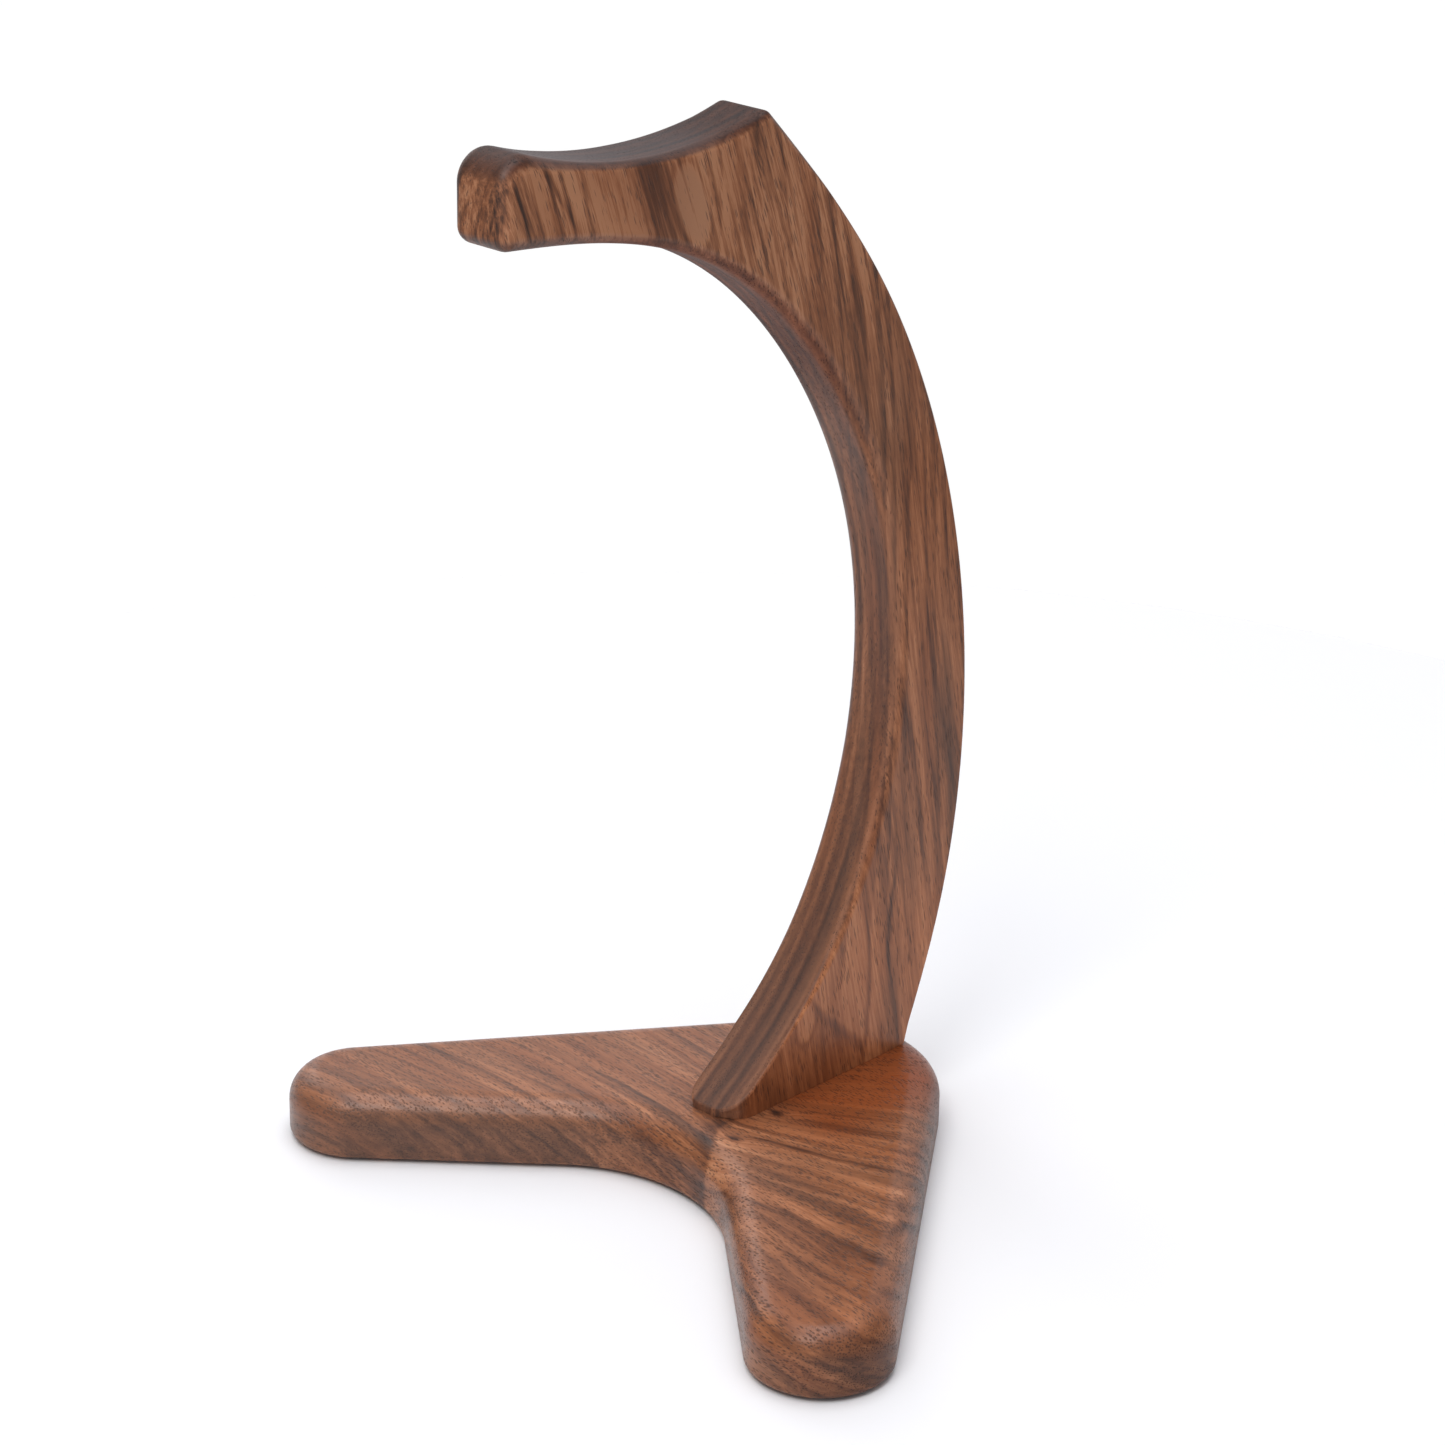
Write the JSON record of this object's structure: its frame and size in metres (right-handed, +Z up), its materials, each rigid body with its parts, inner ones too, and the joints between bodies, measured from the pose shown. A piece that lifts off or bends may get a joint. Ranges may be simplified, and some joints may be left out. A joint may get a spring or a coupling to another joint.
{
  "type": "headphone stand",
  "caption": "Table-top headphone stand: wishbone-shaped wooden base and C-shaped arm with a curved saddle for the headband, joined by hidden bolts and dowels.",
  "frame": {"origin": "on the table, at the middle of the footprint's bounding box: X=0 is the plane of symmetry and the middle of the arm, Z=0 is the underside of the felt pads", "axes": "+Z up, -Y towards the open legs and the saddle's nose, +X to the right when the nose points at the viewer's back"},
  "size_m": [0.214, 0.1751, 0.3014],
  "materials": {
    "walnut": "satin oil",
    "beech": "raw",
    "bolt_steel": "zinc plated",
    "insert_brass": "turned",
    "felt": "pressed felt"
  },
  "bodies": {
    "root": {"base": "walnut", "arm": "walnut", "arm_bolt_front": "bolt_steel", "arm_bolt_rear": "bolt_steel", "bolt_washer_front": "bolt_steel", "bolt_washer_rear": "bolt_steel", "threaded_insert_front": "insert_brass", "threaded_insert_rear": "insert_brass", "locating_dowel_front": "beech", "locating_dowel_rear": "beech", "foot_pad_left": "felt", "foot_pad_right": "felt", "foot_pad_heel": "felt"}
  },
  "joints": []
}
